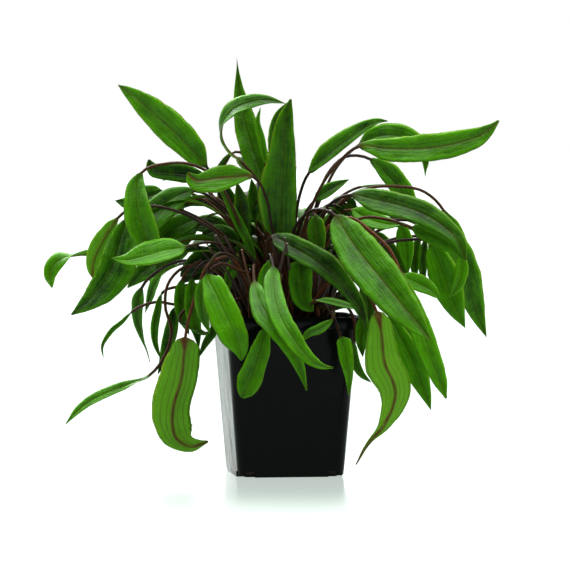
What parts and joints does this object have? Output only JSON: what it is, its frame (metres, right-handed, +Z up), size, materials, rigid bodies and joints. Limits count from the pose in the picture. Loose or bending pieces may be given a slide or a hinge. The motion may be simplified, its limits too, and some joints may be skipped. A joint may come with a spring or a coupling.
{
  "type": "potted cryptocoryne",
  "caption": "Nursery pot of cryptocoryne grown out of the water: a dense arching rosette of strap-like green leaves on brown stalks in a small square black pot.",
  "frame": {"origin": "middle of the pot's underside, on the surface that it stands on", "axes": "+Z up; -Y towards the front of the plant, as pictured; +X to the right seen from the front. The square pot is turned 8 degrees about Z."},
  "size_m": [0.286, 0.2035, 0.2625],
  "materials": {
    "pot_plastic": "satin",
    "soil_mix": "matte",
    "leaf_green": "satin"
  },
  "bodies": {
    "root": {"pot": "pot_plastic", "soil": "soil_mix", "leaf_01": "leaf_green", "leaf_02": "leaf_green", "leaf_03": "leaf_green", "leaf_04": "leaf_green", "leaf_05": "leaf_green", "leaf_06": "leaf_green", "leaf_07": "leaf_green", "leaf_08": "leaf_green", "leaf_09": "leaf_green", "leaf_10": "leaf_green", "leaf_11": "leaf_green", "leaf_12": "leaf_green", "leaf_13": "leaf_green", "leaf_14": "leaf_green", "leaf_15": "leaf_green", "leaf_16": "leaf_green", "leaf_17": "leaf_green", "leaf_18": "leaf_green", "leaf_19": "leaf_green", "leaf_20": "leaf_green", "leaf_21": "leaf_green", "leaf_22": "leaf_green", "leaf_23": "leaf_green", "leaf_24": "leaf_green", "leaf_25": "leaf_green", "leaf_26": "leaf_green", "leaf_27": "leaf_green", "leaf_28": "leaf_green", "leaf_29": "leaf_green", "leaf_30": "leaf_green", "leaf_31": "leaf_green", "leaf_32": "leaf_green", "leaf_33": "leaf_green", "leaf_34": "leaf_green", "leaf_35": "leaf_green", "leaf_36": "leaf_green", "leaf_37": "leaf_green", "leaf_38": "leaf_green", "leaf_39": "leaf_green", "leaf_40": "leaf_green", "leaf_41": "leaf_green", "leaf_42": "leaf_green", "leaf_43": "leaf_green", "leaf_44": "leaf_green", "leaf_45": "leaf_green", "leaf_46": "leaf_green", "leaf_47": "leaf_green", "leaf_48": "leaf_green", "leaf_49": "leaf_green", "leaf_50": "leaf_green", "leaf_51": "leaf_green", "leaf_52": "leaf_green", "leaf_53": "leaf_green", "leaf_54": "leaf_green", "leaf_55": "leaf_green", "leaf_56": "leaf_green", "leaf_57": "leaf_green", "leaf_58": "leaf_green"}
  },
  "joints": []
}
